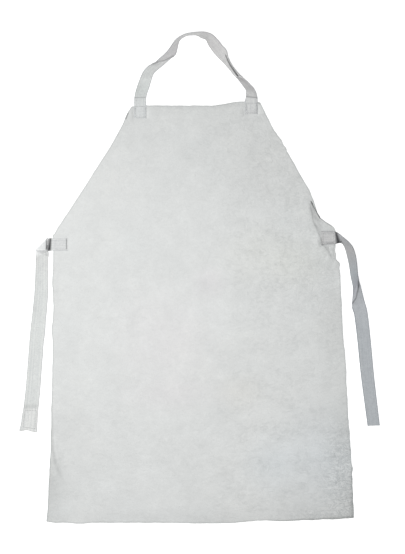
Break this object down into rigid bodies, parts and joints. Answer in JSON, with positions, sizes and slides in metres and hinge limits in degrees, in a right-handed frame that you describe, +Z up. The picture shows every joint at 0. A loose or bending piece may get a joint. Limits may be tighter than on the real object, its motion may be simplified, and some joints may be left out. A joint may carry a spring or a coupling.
{
  "type": "leather apron",
  "caption": "Pale split-leather work apron lying flat: bib and skirt cut together, a slack woven neck strap and woven waist ties sewn to its corners.",
  "frame": {"origin": "middle of the outer box in plan, on the surface that the apron lies on", "axes": "+X across the apron, to the right in the picture; +Y from the hem to the neck strap; +Z up out of the front of the leather"},
  "size_m": [0.7746, 1.0596, 0.0281],
  "materials": {
    "leather": "raw split suede, matt, pale grey",
    "strap_tape": "woven cotton tape, matt, light grey",
    "tie_tape": "woven cotton tape, matt, light grey"
  },
  "bodies": {
    "root": {"panel": "leather", "neck_strap": "strap_tape", "left_tie": "tie_tape", "right_tie": "tie_tape"}
  },
  "joints": []
}
